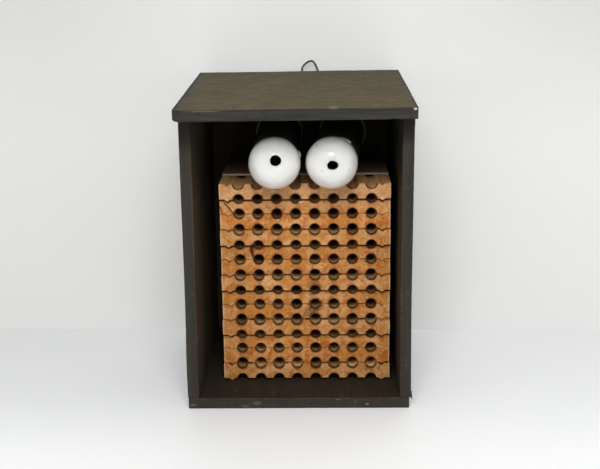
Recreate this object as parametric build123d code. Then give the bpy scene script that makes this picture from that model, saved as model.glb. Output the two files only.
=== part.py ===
from build123d import *
import os
from math import cos, radians, sin, sqrt, tan

# Mason bee house: an open-fronted box of painted boards with a pull-out stack of grooved nesting trays,
# a thin cover board on the stack and two drilled balls on tubes for eyes.
# Millimetres and degrees. Origin at the centre of the bottom board's underside.
# +X is right, +Y goes to the back and +Z goes up.

# Nesting trays
channel_count = 8              # channels side by side
channel_diameter = 8.0         # one channel is two facing half-grooves
channel_pitch = 15.05
channel_edge_margin = 15.3     # side of a tray to the middle of its first channel
lip_radius = 1.1               # rounding where a groove meets the tray's face
tray_count = 13
tray_height = 12.55
tray_length = 127.0
tray_group = 3                 # the first tray of each group stands forward
tray_lead = 3.8                # by this much
notch_inset = 6.6              # side of a tray to the middle of its locating notch
notch_width = 5.4
notch_depth = 1.9
ridge_clearance = 0.2          # between a locating ridge and the flanks and bottom of its notch

# Cover board and eyes
cover_thickness = 2.0
cover_setback = 35.0           # cover's front edge behind the leading trays' front
ball_diameter = 40.0
pupil_diameter = 8.0           # hole drilled right through a ball
ball_step = 1.0                # ball stands proud of its tube by this much all round
tube_wall = 2.0
seat_clearance = 0.1           # between a ball and the rim of its tube
eye_gap = 3.6                  # clear space between the two balls
eye_shift = -0.7               # middle of the eyes from the middle of the stack
eye_reach = 24.7               # balls' middle in front of the leading trays' front
left_tube_turn = 0.5           # outward swing of a tube's rear end
right_tube_turn = 4.3
left_look_right = 4.9          # where a pupil points, from straight ahead
left_look_up = 15.7
right_look_right = 1.4
right_look_up = 4.2

# House boards
stack_left_gap = 16.6          # trays to the left side board
stack_right_gap = 5.6
stack_back_gap = 2.9           # pushed-in trays to the back board
porch_depth = 38.7             # front edges of the sides to the leading trays' front
headroom = 57.2                # cover board up to the roof, at the front edges of the sides
side_thickness = 8.7
back_thickness = 8.7
bottom_thickness = 8.6
roof_thickness = 8.5
roof_slope = 2.0               # falls towards the front
roof_front_overhang = 22.0
roof_side_overhang = 1.25

# Nails, driven flush
nail_diameter = 2.0
nail_length = 30.0
nail_point = 3.0               # length of the tapered point
nail_tip_diameter = 0.4
nail_head_diameter = 4.6
nail_head_thickness = 0.9
nails_in_row = 3
edge_nail_inset = 10.0         # first nail of a row from the front and back of the house
back_nail_inset = 35.0         # first nail through the bottom into the back, from the back board's side
side_nail_inset = 30.0         # first nail through a side into the back, from the side board's foot and top

# Hanging loop, heights counted from the roof's rear top edge
wire_diameter = 1.8
loop_peak_x = 11.6             # corner points of the loop before they are rounded
loop_peak_rise = 10.2
loop_shoulder_x = 3.2
loop_shoulder_rise = 4.5
loop_left_foot_x = -0.4
loop_right_foot_x = 30.5
loop_foot_drop = 24.0
loop_peak_radius = 2.2
loop_shoulder_radius = 3.0
eyelet_turn = 260.0            # how far each end is curled round its screw
eyelet_clearance = 0.2
screw_diameter = 3.0
screw_depth = 7.0              # in the back board
screw_head_diameter = 6.6
screw_head_height = 2.4
screw_head_rim = 0.6           # straight edge below the head's rounding
screw_slot_width = 1.0
screw_slot_depth = 1.1

# Sizes that follow
tray_width = (channel_count - 1) * channel_pitch + 2 * channel_edge_margin
house_width = side_thickness * 2 + stack_left_gap + tray_width + stack_right_gap
house_depth = porch_depth + tray_lead + tray_length + stack_back_gap + back_thickness
front_y = -house_depth / 2
back_y = house_depth / 2
stack_x = -house_width / 2 + side_thickness + stack_left_gap + tray_width / 2
stack_front_y = front_y + porch_depth
stack_rear_y = back_y - back_thickness - stack_back_gap
ridge_width = notch_width - 2 * ridge_clearance * sqrt(1 + (notch_width / 2 / notch_depth) ** 2)
ridge_depth = notch_depth * ridge_width / notch_width
stack_top_z = bottom_thickness + ridge_depth + tray_count * tray_height
cover_top_z = stack_top_z + cover_thickness
ball_radius = ball_diameter / 2
tube_radius = ball_radius - ball_step
side_middle_x = house_width / 2 - side_thickness / 2
back_middle_y = back_y - back_thickness / 2
back_width = house_width - 2 * side_thickness


def roof_under_z(y):
    return cover_top_z + headroom + (y - front_y) * tan(radians(roof_slope))


def spread(first, last, count):
    step = (last - first) / (count - 1)
    return [first + step * i for i in range(count)]


# Boards, before the nail holes
def board_under_roof(width, y_low, y_high):
    outline = Polygon(
        (y_low, bottom_thickness),
        (y_high, bottom_thickness),
        (y_high, roof_under_z(y_high)),
        (y_low, roof_under_z(y_low)),
        align=None,
    )
    return extrude(Plane.YZ * outline, amount=width / 2, both=True)


def bottom_board():
    return Box(house_width, house_depth, bottom_thickness, align=(Align.CENTER, Align.CENTER, Align.MIN))


def side_board(hand):
    return Pos(hand * side_middle_x, 0, 0) * board_under_roof(side_thickness, front_y, back_y)


def back_board():
    return board_under_roof(back_width, back_y - back_thickness, back_y)


def roof_board():
    width = house_width + 2 * roof_side_overhang
    length = (house_depth + roof_front_overhang) / cos(radians(roof_slope))
    flat = Box(width, length, roof_thickness, align=(Align.CENTER, Align.MAX, Align.MIN))
    return Pos(0, back_y, roof_under_z(back_y)) * Rot(roof_slope, 0, 0) * flat


# Nails: the head's top is at the nail's own origin and the point goes down
def nail():
    top = (Align.CENTER, Align.CENTER, Align.MAX)
    shank_length = nail_length - nail_head_thickness - nail_point
    head = Cylinder(nail_head_diameter / 2, nail_head_thickness, align=top)
    shank = Pos(0, 0, -nail_head_thickness) * Cylinder(nail_diameter / 2, shank_length, align=top)
    point = Cone(nail_tip_diameter / 2, nail_diameter / 2, nail_point, align=top)
    return head + shank + Pos(0, 0, nail_point - nail_length) * point


def nail_group(places):
    return Compound([place * nail() for place in places])


def edge_rows():
    return spread(front_y + edge_nail_inset, back_y - edge_nail_inset, nails_in_row)


def roof_nail_places():
    rise = roof_thickness / cos(radians(roof_slope))
    return [
        Location((hand * side_middle_x, y, roof_under_z(y) + rise), (roof_slope, 0, 0))
        for hand in (-1, 1)
        for y in edge_rows()
    ]


def bottom_nail_places():
    reach = back_width / 2 - back_nail_inset
    under_sides = [(hand * side_middle_x, y) for hand in (-1, 1) for y in edge_rows()]
    under_back = [(x, back_middle_y) for x in spread(-reach, reach, nails_in_row)]
    return [Location((x, y, 0), (180, 0, 0)) for x, y in under_sides + under_back]


def side_nail_places():
    low = bottom_thickness + side_nail_inset
    high = roof_under_z(back_middle_y) - side_nail_inset
    return [
        Location((hand * house_width / 2, back_middle_y, z), (0, hand * 90, 0))
        for hand in (-1, 1)
        for z in spread(low, high, nails_in_row)
    ]


# Hanging loop on the back face, held by two round-head screws
def loop_corners():
    edge_z = roof_under_z(back_y) + roof_thickness * cos(radians(roof_slope))
    return [
        Vector(loop_left_foot_x, edge_z - loop_foot_drop),
        Vector(loop_shoulder_x, edge_z + loop_shoulder_rise),
        Vector(loop_peak_x, edge_z + loop_peak_rise),
        Vector(loop_right_foot_x, edge_z - loop_foot_drop),
    ]


def eyelet_radius():
    return screw_diameter / 2 + eyelet_clearance + wire_diameter / 2


def leg_ends():
    left_foot, shoulder, peak, right_foot = loop_corners()
    left_way = (left_foot - shoulder).normalized()
    right_way = (right_foot - peak).normalized()
    return [(left_foot, left_way, -1), (right_foot, right_way, 1)]


def hanger_wire():
    left_foot, shoulder, peak, right_foot = loop_corners()
    legs = FilletPolyline(left_foot, shoulder, peak, right_foot, radius=[loop_shoulder_radius, loop_peak_radius])
    curls = [
        JernArc(start=foot, tangent=way, radius=eyelet_radius(), arc_size=hand * eyelet_turn)
        for foot, way, hand in leg_ends()
    ]
    on_back = Plane(origin=(0, back_y + wire_diameter / 2, 0), x_dir=(1, 0, 0), z_dir=(0, -1, 0))
    flat_edges = curls[0].edges() + legs.edges() + curls[1].edges()
    path = Wire([on_back * edge for edge in flat_edges], sequenced=True)
    section = Plane(origin=path @ 0, z_dir=path % 0) * Circle(wire_diameter / 2)
    return sweep(section, path=path)


def screw_places():
    places = []
    for foot, way, hand in leg_ends():
        middle = foot + Vector(-way.Y, way.X) * hand * eyelet_radius()
        places.append(Location((middle.X, back_y + wire_diameter, middle.Y), (-90, 0, 0)))
    return places


def screw():
    foot = (Align.CENTER, Align.CENTER, Align.MIN)
    head = Cylinder(screw_head_diameter / 2, screw_head_height, align=foot)
    head = fillet(head.edges().group_by(Axis.Z)[-1], screw_head_height - screw_head_rim)
    slot = Pos(0, 0, screw_head_height - screw_slot_depth) * Box(
        screw_head_diameter, screw_slot_width, screw_slot_depth, align=foot
    )
    shank_length = wire_diameter + screw_depth
    shank = Cylinder(screw_diameter / 2, shank_length, align=(Align.CENTER, Align.CENTER, Align.MAX))
    return head - slot + shank


# Nesting tray: its front lower middle is at the tray's own origin
def locating_vee(width, depth):
    return Polygon((-width / 2, 0), (0, -depth), (width / 2, 0), align=None)


def tray_profile():
    channels = [(i - (channel_count - 1) / 2) * channel_pitch for i in range(channel_count)]
    lanes = [hand * (tray_width / 2 - notch_inset) for hand in (-1, 1)]
    profile = Rectangle(tray_width, tray_height, align=(Align.CENTER, Align.MIN))
    for z in (0, tray_height):
        for x in channels:
            profile -= Pos(x, z) * Circle(channel_diameter / 2)
    lips = [
        corner
        for corner in profile.vertices()
        if min(abs(abs(corner.X - x) - channel_diameter / 2) for x in channels) < lip_radius / 10
    ]
    profile = fillet(lips, lip_radius)
    for x in lanes:
        profile -= Pos(x, tray_height) * locating_vee(notch_width, notch_depth)
        profile += Pos(x, 0) * locating_vee(ridge_width, ridge_depth)
    return profile


def tray(number):
    leads = number % tray_group == 0
    y = stack_front_y if leads else stack_front_y + tray_lead
    return Pos(stack_x, y, stack_top_z - (number + 1) * tray_height) * whole_tray


def stack_cover():
    length = stack_rear_y - stack_front_y - cover_setback
    board = Box(tray_width, length, cover_thickness, align=(Align.CENTER, Align.MAX, Align.MIN))
    return Pos(stack_x, stack_rear_y, stack_top_z) * board


# Eyes: a ball's middle is at the eye's own origin and its tube goes to the back
def eye_place(hand, turn):
    x = stack_x + eye_shift + hand * (ball_diameter + eye_gap) / 2
    return Location((x, stack_front_y - eye_reach, cover_top_z + tube_radius), (0, 0, -hand * turn))


def eye_tube(turn):
    inner_radius = tube_radius - tube_wall
    rim_y = sqrt((ball_radius + seat_clearance) ** 2 - inner_radius**2)
    reach = stack_rear_y - stack_front_y + eye_reach
    rear_y = (reach - tube_radius * sin(radians(turn))) / cos(radians(turn))
    base = (Align.CENTER, Align.CENTER, Align.MIN)
    outer = Cylinder(tube_radius, rear_y - rim_y, align=base)
    bore = Cylinder(inner_radius, rear_y - rim_y, align=base)
    return Pos(0, rim_y, 0) * Rot(-90, 0, 0) * (outer - bore)


def eye_ball(look_right, look_up):
    drill = Rot(90 - look_up, 0, 0) * Cylinder(pupil_diameter / 2, 2 * ball_diameter)
    return Sphere(ball_radius) - Rot(0, 0, look_right) * drill


# Finished pieces
whole_tray = extrude(Plane.XZ * tray_profile(), amount=-tray_length)
roof_nails = nail_group(roof_nail_places())
bottom_nails = nail_group(bottom_nail_places())
side_nails = nail_group(side_nail_places())
hanger_screws = Compound([place * screw() for place in screw_places()])
left_eye = eye_place(-1, left_tube_turn)
right_eye = eye_place(1, right_tube_turn)

pieces = {
    "bottom_panel": bottom_board() - bottom_nails,
    "left_side_panel": side_board(-1) - roof_nails - bottom_nails - side_nails,
    "right_side_panel": side_board(1) - roof_nails - bottom_nails - side_nails,
    "back_panel": back_board() - bottom_nails - side_nails - hanger_screws,
    "roof_panel": roof_board() - roof_nails,
    "roof_nails": roof_nails,
    "bottom_nails": bottom_nails,
    "side_nails": side_nails,
    "hanger_wire": hanger_wire(),
    "hanger_screws": hanger_screws,
    "stack_cover": stack_cover(),
    "left_eye_tube": left_eye * eye_tube(left_tube_turn),
    "right_eye_tube": right_eye * eye_tube(right_tube_turn),
    "left_eye_ball": Pos(left_eye.position) * eye_ball(left_look_right, left_look_up),
    "right_eye_ball": Pos(right_eye.position) * eye_ball(right_look_right, right_look_up),
}
for number in range(tray_count):
    pieces[f"tray_{number + 1:02d}"] = tray(number)

os.makedirs("parts", exist_ok=True)
for name, shape in pieces.items():
    export_step(shape, f"parts/{name}.step")
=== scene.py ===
import bmesh
import bpy
import math
from mathutils import Matrix, Vector, noise


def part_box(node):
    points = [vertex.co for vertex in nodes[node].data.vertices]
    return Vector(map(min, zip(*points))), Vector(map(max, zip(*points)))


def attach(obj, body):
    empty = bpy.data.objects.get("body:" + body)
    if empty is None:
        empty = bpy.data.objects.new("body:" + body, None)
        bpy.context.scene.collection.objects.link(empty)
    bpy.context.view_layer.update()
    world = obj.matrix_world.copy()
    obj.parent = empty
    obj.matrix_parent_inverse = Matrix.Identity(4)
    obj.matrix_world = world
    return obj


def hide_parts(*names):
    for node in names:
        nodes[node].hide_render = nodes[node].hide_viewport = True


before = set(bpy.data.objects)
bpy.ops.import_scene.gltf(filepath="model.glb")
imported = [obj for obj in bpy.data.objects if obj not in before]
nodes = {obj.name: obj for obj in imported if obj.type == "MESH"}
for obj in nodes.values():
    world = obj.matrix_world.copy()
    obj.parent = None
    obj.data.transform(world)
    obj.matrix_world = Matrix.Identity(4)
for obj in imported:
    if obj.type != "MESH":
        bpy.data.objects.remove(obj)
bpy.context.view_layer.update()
mm = 0.001
noiseSeed = 7
noise.seed_set(noiseSeed)      # without it, the clock sets where noise_vector starts
print("frame loaded,", len(nodes), "nodes")


# Shader helpers: a new node goes into the tree of the sockets that feed it

def screenColour(red, green, blue):
    # 0 to 255 as seen on a screen, turned into the linear values that sockets take
    linear = [((c / 255 + 0.055) / 1.055) ** 2.4 if c > 10 else c / 255 / 12.92 for c in (red, green, blue)]
    return (*linear, 1.0)


def isSocket(value):
    return isinstance(value, bpy.types.NodeSocket)


def feed(socket, target):
    socket.id_data.links.new(socket, target)


def put(kind, inputs, tree=None, **settings):
    tree = tree or next(value.id_data for value in inputs.values() if isSocket(value))
    node = tree.nodes.new("ShaderNode" + kind)
    for key, value in settings.items():
        setattr(node, key, value)
    for key, value in inputs.items():
        if isSocket(value):
            feed(value, node.inputs[key])
        else:
            node.inputs[key].default_value = value
    return node


def calc(operation, first, second=0.0, third=0.0):
    return put("Math", {0: first, 1: second, 2: third}, operation=operation).outputs[0]


def plus(first, second):
    return calc("ADD", first, second)


def minus(first, second):
    return calc("SUBTRACT", first, second)


def times(first, second):
    return calc("MULTIPLY", first, second)


def timesPlus(value, factor, extra):
    return calc("MULTIPLY_ADD", value, factor, extra)


def vectorCalc(operation, first, second=(0.0, 0.0, 0.0), scale=1.0, part="Vector"):
    return put("VectorMath", {0: first, 1: second, 3: scale}, operation=operation).outputs[part]


def axes(vector):
    return put("SeparateXYZ", {0: vector}).outputs


def fade(value, start, end):
    # 0 at start, 1 at end, smooth between
    return put("MapRange", {0: value, 1: start, 2: end}, interpolation_type="SMOOTHSTEP").outputs[0]


def cloud(vector, size, detail=3.0, roughness=0.55, distortion=0.0):
    # soft noise with lumps about this many metres across
    scale = calc("DIVIDE", 1.0, size) if isSocket(size) else 1.0 / size
    inputs = {"Vector": vector, "Scale": scale, "Detail": detail, "Roughness": roughness}
    return put("TexNoise", {**inputs, "Distortion": distortion}).outputs[0]


def blendColour(factor, first, second, blendType="MIX"):
    return put("Mix", {0: factor, 6: first, 7: second}, data_type="RGBA", blend_type=blendType).outputs[2]


def tinted(colour, mask, amount, tint):
    return blendColour(times(mask, amount), colour, tint)


def scaleColour(colour, factor):
    grey = put("CombineColor", {0: factor, 1: factor, 2: factor}).outputs[0]
    return blendColour(1.0, colour, grey, "MULTIPLY")


def shaded(colour, value, factor, extra):
    return scaleColour(colour, timesPlus(value, factor, extra))


def newGroup(name, inputs, outputs):
    # the first input is the place on the piece; a triple makes a vector input, and a number a plain one
    group = bpy.data.node_groups.new(name, "ShaderNodeTree")
    for label, value in {"Vector": (0, 0, 0), **inputs}.items():
        kind = "NodeSocketFloat" if isinstance(value, float) else "NodeSocketVector"
        group.interface.new_socket(name=label, in_out="INPUT", socket_type=kind).default_value = value
    for label in outputs:
        group.interface.new_socket(name=label, in_out="OUTPUT", socket_type="NodeSocketFloat")
    return group, group.nodes.new("NodeGroupInput").outputs, group.nodes.new("NodeGroupOutput").inputs


def useGroup(group, vector, **inputs):
    named = {key.capitalize(): value for key, value in inputs.items()}
    return put("Group", {"Vector": vector, **named}, node_tree=group).outputs


# Shared surface effects

def makeStrokes():
    # brush strokes: noise drawn out along the way the brush went
    group, given, result = newGroup("brushStrokes", {"Stretch": (1, 1, 1)}, ["Streak", "Grit"])
    drawn = vectorCalc("MULTIPLY", given["Vector"], given["Stretch"])
    feed(cloud(drawn, 1.0, 5.0, 0.62, 0.35), result["Streak"])
    feed(cloud(given["Vector"], 1.3 * mm, 4.0, 0.7), result["Grit"])
    return group


def makeEdgeRub():
    # ragged mask along the edges of a board
    group, given, result = newGroup("edgeRub", {"Low": (0, 0, 0), "High": (1, 1, 1), "Reach": 0.002}, ["Rub"])
    fromLow = vectorCalc("SUBTRACT", given["Vector"], given["Low"])
    fromHigh = vectorCalc("SUBTRACT", given["High"], given["Vector"])
    x, y, z = axes(vectorCalc("MINIMUM", fromLow, fromHigh))
    larger = calc("MAXIMUM", x, y)
    smaller = calc("MINIMUM", x, y)
    fromEdge = calc("MAXIMUM", smaller, calc("MINIMUM", larger, z))
    ragged = cloud(given["Vector"], 5 * mm, 5.0, 0.65)
    reach = times(given["Reach"], fade(ragged, 0.38, 0.75))
    feed(fade(minus(fromEdge, reach), 0.3 * mm, -0.5 * mm), result["Rub"])
    return group


def makeBlotches():
    group, given, result = newGroup("blotches", {"Size": 0.02, "Cover": 0.5, "Soft": 0.1}, ["Mask"])
    lumps = cloud(given["Vector"], given["Size"], 4.0, 0.6, 0.2)
    middle = minus(1.0, given["Cover"])
    feed(fade(lumps, minus(middle, given["Soft"]), plus(middle, given["Soft"])), result["Mask"])
    return group


def makeFlecks():
    # scattered specks, present in a share of the cells
    group, given, result = newGroup("flecks", {"Size": 0.002, "Share": 0.2}, ["Mask"])
    wander = put("TexNoise", {"Vector": given["Vector"], "Scale": 900.0}).outputs["Color"]
    drift = vectorCalc("SCALE", wander, scale=times(given["Size"], 0.45))
    bent = vectorCalc("ADD", given["Vector"], drift)
    cells = put("TexVoronoi", {"Vector": bent, "Scale": calc("DIVIDE", 1.0, given["Size"])}).outputs
    chosen = put("SeparateColor", {0: cells["Color"]}).outputs[0]
    present = calc("LESS_THAN", chosen, given["Share"])
    feed(times(present, fade(cells["Distance"], 0.38, 0.2)), result["Mask"])
    return group


def makeSpot():
    # one ragged mark round a place, with its half-lengths along X, Y and Z
    group, given, result = newGroup(
        "ragSpot", {"Centre": (0, 0, 0), "Reach": (1, 1, 1), "Ragged": 0.6}, ["Mask"])
    away = vectorCalc("SUBTRACT", given["Vector"], given["Centre"])
    length = vectorCalc("LENGTH", vectorCalc("DIVIDE", away, given["Reach"]), part="Value")
    rag = minus(cloud(given["Vector"], 1.6 * mm, 4.0, 0.7), 0.5)
    torn = timesPlus(rag, times(given["Ragged"], 3.0), length)
    feed(fade(torn, 1.0, 0.45), result["Mask"])
    return group


def makeCrack():
    # thin wandering line between two points
    group, given, result = newGroup(
        "crackLine", {"Start": (0, 0, 0), "End": (1, 0, 0), "Width": 0.0005, "Wander": 0.001}, ["Mask"])
    stray = put("TexNoise", {"Vector": given["Vector"], "Scale": 420.0, "Detail": 3.0}).outputs["Color"]
    centred = vectorCalc("SUBTRACT", stray, (0.5, 0.5, 0.5))
    place = vectorCalc("ADD", given["Vector"], vectorCalc("SCALE", centred, scale=given["Wander"]))
    along = vectorCalc("SUBTRACT", given["End"], given["Start"])
    out = vectorCalc("SUBTRACT", place, given["Start"])
    dot = vectorCalc("DOT_PRODUCT", out, along, part="Value")
    whole = vectorCalc("DOT_PRODUCT", along, along, part="Value")
    share = put("Clamp", {0: calc("DIVIDE", dot, whole)}).outputs[0]
    gap = vectorCalc("DISTANCE", out, vectorCalc("SCALE", along, scale=share), part="Value")
    feed(fade(gap, given["Width"], 0.0), result["Mask"])
    return group


def makeTrayLayout():
    # where a point lies in the stack: tray from the top, distances to the seams, distance from a channel's
    # axis and a chance value of that channel's own
    group, given, result = newGroup(
        "trayLayout", {"Top": (0, 0, 0), "Pitch": (1, 1, 1), "Notch": (1, 1, 1), "Half": 1.0},
        ["Radius", "Chance", "Row", "Below", "Above"])
    x, _, z = axes(vectorCalc("SUBTRACT", given["Vector"], given["Top"]))
    pitchX, _, pitchZ = axes(given["Pitch"])
    notchX, notchHalf, notchDepth = axes(given["Notch"])
    column = calc("DIVIDE", x, pitchX)
    across = times(minus(calc("FRACT", column), 0.5), pitchX)
    line = plus(calc("DIVIDE", z, pitchZ), 0.5)
    height = times(minus(calc("FRACT", line), 0.5), pitchZ)
    cell = put("CombineXYZ", {0: calc("FLOOR", column), 1: calc("FLOOR", line)}).outputs[0]
    feed(put("TexWhiteNoise", {"Vector": cell}, noise_dimensions="2D").outputs[0], result["Chance"])
    squares = plus(times(across, across), times(height, height))
    outside = calc("GREATER_THAN", calc("ABSOLUTE", x), given["Half"])
    feed(plus(calc("SQRT", squares), outside), result["Radius"])
    fromNotch = calc("ABSOLUTE", minus(calc("ABSOLUTE", x), notchX))
    slope = calc("MAXIMUM", minus(1.0, calc("DIVIDE", fromNotch, notchHalf)), 0.0)
    level = timesPlus(slope, notchDepth, z)
    depth = calc("DIVIDE", times(level, -1.0), pitchZ)
    below = times(calc("FRACT", depth), pitchZ)
    feed(calc("FLOOR", depth), result["Row"])
    feed(below, result["Below"])
    feed(minus(pitchZ, below), result["Above"])
    return group


strokes = makeStrokes()
edgeRub = makeEdgeRub()
blotches = makeBlotches()
flecks = makeFlecks()
ragSpot = makeSpot()
crackLine = makeCrack()
trayLayout = makeTrayLayout()
print("surface effects ready")


# Materials

def newMaterial(name, constants=None):
    # constants are the sockets of the shader that are the same all over the piece
    material = bpy.data.materials.new(name)
    material.use_nodes = True
    shader = material.node_tree.nodes["Principled BSDF"]
    for socket, value in (constants or {}).items():
        shader.inputs[socket].default_value = value
    return material, shader, put("TexCoord", {}, material.node_tree).outputs["Object"]


def dress(shader, colour, roughness, height, depth, strength):
    # colour, roughness and relief into the shader
    feed(colour, shader.inputs["Base Color"])
    feed(roughness, shader.inputs["Roughness"])
    bump = put("Bump", {"Height": height, "Distance": depth, "Strength": strength})
    feed(bump.outputs[0], shader.inputs["Normal"])


def spotted(colour, place, centre, reach, ragged, amount, tint):
    # one ragged mark, with its centre and half-lengths in millimetres
    sizes = {"centre": Vector(centre) * mm, "reach": Vector(reach) * mm}
    return tinted(colour, useGroup(ragSpot, place, ragged=ragged, **sizes)["Mask"], amount, tint)


boardPaint = {
    "paint": screenColour(57, 54, 49),
    "thin": screenColour(46, 43, 38),
    "brown": screenColour(66, 48, 33),
    "inner": screenColour(52, 46, 36),
    "rubbed": screenColour(88, 84, 77),
    "chip": screenColour(150, 141, 127),
    "rubReach": 1.4 * mm,
    # painted shadow of the roof on the front edges of the sides
    "paintedRoofShadow": 0.5,            # how much darker the front edge is under the roof
    "paintedLightFrom": 15 * mm,        # where the painted light on the inside faces begins to grow, and where it is full
    "paintedLightTo": 145 * mm,
}


def paintedBoard(name, low, high, stretch, brown, inner, marks, paintedRoofShadow=None):
    # inner: axis and level of the face inside the house, the way it looks, and its shade at the mouth of the
    # house and deep inside: painted light and shade set for each board, lighter deep in on the sides where
    # little light reaches
    # the last argument gives the heights where the front edge begins to be darker under the roof, and where
    # it is darkest: a painted shadow of the roof's overhang
    look = boardPaint
    material, shader, place = newMaterial(name, {"Specular IOR Level": 0.2})
    brush = useGroup(strokes, place, stretch=stretch)
    rub = useGroup(edgeRub, place, low=low, high=high, reach=look["rubReach"])["Rub"]
    patches = useGroup(blotches, place, size=34 * mm, cover=0.42, soft=0.16)["Mask"]
    colour = blendColour(fade(brush["Streak"], 0.3, 0.72), look["thin"], look["paint"])
    axis, level, way, mouthShade, deepShade = inner
    parts = axes(place)
    within = fade(times(minus(parts[axis], level), way), -0.5 * mm, -0.1 * mm)
    # painted light: the inside faces grow lighter deeper in, where little light reaches
    deepPaintedLight = fade(parts[1], low.y + look["paintedLightFrom"], low.y + look["paintedLightTo"])
    shade = timesPlus(deepPaintedLight, deepShade - mouthShade, mouthShade)
    dark = scaleColour(look["inner"], times(plus(brush["Streak"], 0.5), shade))
    colour = tinted(colour, within, 0.85, dark)
    colour = tinted(colour, times(patches, fade(brush["Streak"], 0.6, 0.38)), brown, look["brown"])
    colour = tinted(colour, rub, 0.35, look["rubbed"])
    specks = useGroup(flecks, place, size=5 * mm, share=0.06)["Mask"]
    colour = tinted(colour, specks, 0.3, look["rubbed"])
    for centre, reach, tint, amount in marks:
        colour = spotted(colour, place, centre, reach, 0.7, amount, look[tint])
    colour = shaded(colour, brush["Grit"], 0.5, 0.75)
    # painted shadow: the front edges of the sides are darker just under the roof
    if paintedRoofShadow:
        onFront = fade(minus(parts[1], low.y), 3.0 * mm, 1.2 * mm)
        under = times(fade(parts[2], paintedRoofShadow[0] * mm, paintedRoofShadow[1] * mm), onFront)
        colour = shaded(colour, under, -look["paintedRoofShadow"], 1.0)
    roughness = timesPlus(brush["Streak"], 0.25, 0.55)
    height = timesPlus(brush["Streak"], 0.8, times(brush["Grit"], 0.35))
    dress(shader, colour, roughness, height, 0.25 * mm, 0.7)
    return material


# Mesh helpers

def sliceMesh(bm, axis, places):
    normal = Vector((0, 0, 0))
    normal[axis] = 1.0
    for place in places:
        geometry = bm.verts[:] + bm.edges[:] + bm.faces[:]
        bmesh.ops.bisect_plane(bm, geom=geometry, plane_co=normal * place, plane_no=normal)


def slicePlaces(low, high, step, margin):
    # a cut close to each end, and even cuts between
    count = max(1, round((high - low - 2 * margin) / step))
    return [low + margin + (high - low - 2 * margin) * i / count for i in range(count + 1)]


def sharpEdges(bm, angle):
    return [e for e in bm.edges if len(e.link_faces) == 2 and e.calc_face_angle() > math.radians(angle)]


def roundEdges(bm, edges, offset, segments):
    bmesh.ops.bevel(bm, geom=edges, offset=offset, segments=segments, profile=0.5, affect="EDGES",
                    material=-1, clamp_overlap=True)


def boxMesh(low, high):
    bm = bmesh.new()
    bmesh.ops.create_cube(bm, size=1.0)
    bmesh.ops.scale(bm, vec=high - low, verts=bm.verts)
    bmesh.ops.translate(bm, vec=(low + high) / 2, verts=bm.verts)
    return bm


def nodeMesh(nodeName, flatAngle):
    # a CAD node's mesh, merged, with its flat faces whole again
    bm = bmesh.new()
    bm.from_mesh(nodes[nodeName].data)
    bmesh.ops.remove_doubles(bm, verts=bm.verts, dist=1e-6)
    bmesh.ops.dissolve_limit(bm, angle_limit=math.radians(flatAngle), verts=bm.verts, edges=bm.edges)
    return bm


def wearBoard(bm, low, high, look, segments):
    # rounded edges, uneven faces, and dents where the edges were knocked
    for axis in range(3):
        sliceMesh(bm, axis, slicePlaces(low[axis], high[axis], look["slice"], look["margin"]))
    roundEdges(bm, sharpEdges(bm, 45), look["edgeRound"], segments)
    bm.normal_update()
    moves = []
    for vert in bm.verts:
        gaps = sorted(min(vert.co[i] - low[i], high[i] - vert.co[i]) for i in range(3))
        onEdge = max(0.0, 1.0 - gaps[1] / look["edgeReach"])
        warp = noise.noise(vert.co / look["warpSize"]) * look["warp"]
        tooth = noise.noise(vert.co / look["toothSize"]) * look["tooth"]
        knock = max(0.0, noise.noise(vert.co / look["nickSize"]) - look["nickFrom"])
        moves.append(vert.normal * (warp + tooth - knock * onEdge * look["nick"]))
    for vert, move in zip(bm.verts, moves):
        vert.co += move


def chainUp(bm, verts):
    for one, two in zip(verts, verts[1:]):
        bm.edges.new((one, two))


def turnRound(bm, axis, steps):
    # a profile turned into a closed round shell
    bmesh.ops.spin(bm, geom=bm.verts[:] + bm.edges[:], cent=(0, 0, 0), axis=axis, dvec=(0, 0, 0),
                   angle=2 * math.pi, steps=steps, use_merge=True)
    bmesh.ops.remove_doubles(bm, verts=bm.verts, dist=1e-7)
    bmesh.ops.recalc_face_normals(bm, faces=bm.faces)


def finishPiece(name, bm, materials, body, replaced=(), sharpAngle=60):
    for face in bm.faces:
        face.smooth = True
    mesh = bpy.data.meshes.new(name)
    bm.to_mesh(mesh)
    bm.free()
    mesh.set_sharp_from_angle(angle=math.radians(sharpAngle))
    for material in materials:
        mesh.materials.append(material)
    piece = bpy.data.objects.new(name, mesh)
    bpy.context.scene.collection.objects.link(piece)
    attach(piece, body)
    if replaced:
        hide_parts(*replaced)


# House boards

boardShape = {
    "slice": 3.0 * mm,
    "margin": 1.1 * mm,        # first cut from an edge
    "edgeRound": 0.75 * mm,
    "warp": 0.22 * mm,         # slow unevenness of the faces
    "warpSize": 70 * mm,
    "tooth": 0.05 * mm,        # brush and saw marks
    "toothSize": 6 * mm,
    "nick": 1.1 * mm,          # dents along the edges
    "nickSize": 9 * mm,
    "nickFrom": 0.28,
    "edgeReach": 1.6 * mm,
}
roofSlope = math.radians(2.0)
roofRoll = 0.45 * mm           # the roof is lower at its left end by this, and higher at its right
sideLow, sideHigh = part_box("left_side_panel")
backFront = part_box("back_panel")[0].y


def rollAt(point):
    return roofRoll * point.x / -sideLow.x


def underRoof(bm, low, high):
    # upper end cut to the slope of the roof
    for vert in bm.verts:
        drop = (sideHigh.y - vert.co.y) * math.tan(roofSlope) - (sideHigh.z - high.z)
        vert.co.z += (rollAt(vert.co) - drop) * (vert.co.z - low.z) / (high.z - low.z)


def bendFront(bm, bend):
    # slight bow of a side's front edge: height and shift to the right, in millimetres
    for vert in bm.verts:
        height = vert.co.z / mm
        frontShare = (sideHigh.y - vert.co.y) / (sideHigh.y - sideLow.y)
        for (fromZ, fromX), (toZ, toX) in zip(bend, bend[1:]):
            if fromZ <= height <= toZ:
                share = (height - fromZ) / (toZ - fromZ)
                share = share * share * (3 - 2 * share)
                vert.co.x += (fromX + (toX - fromX) * share) * mm * frontShare
                break


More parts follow.
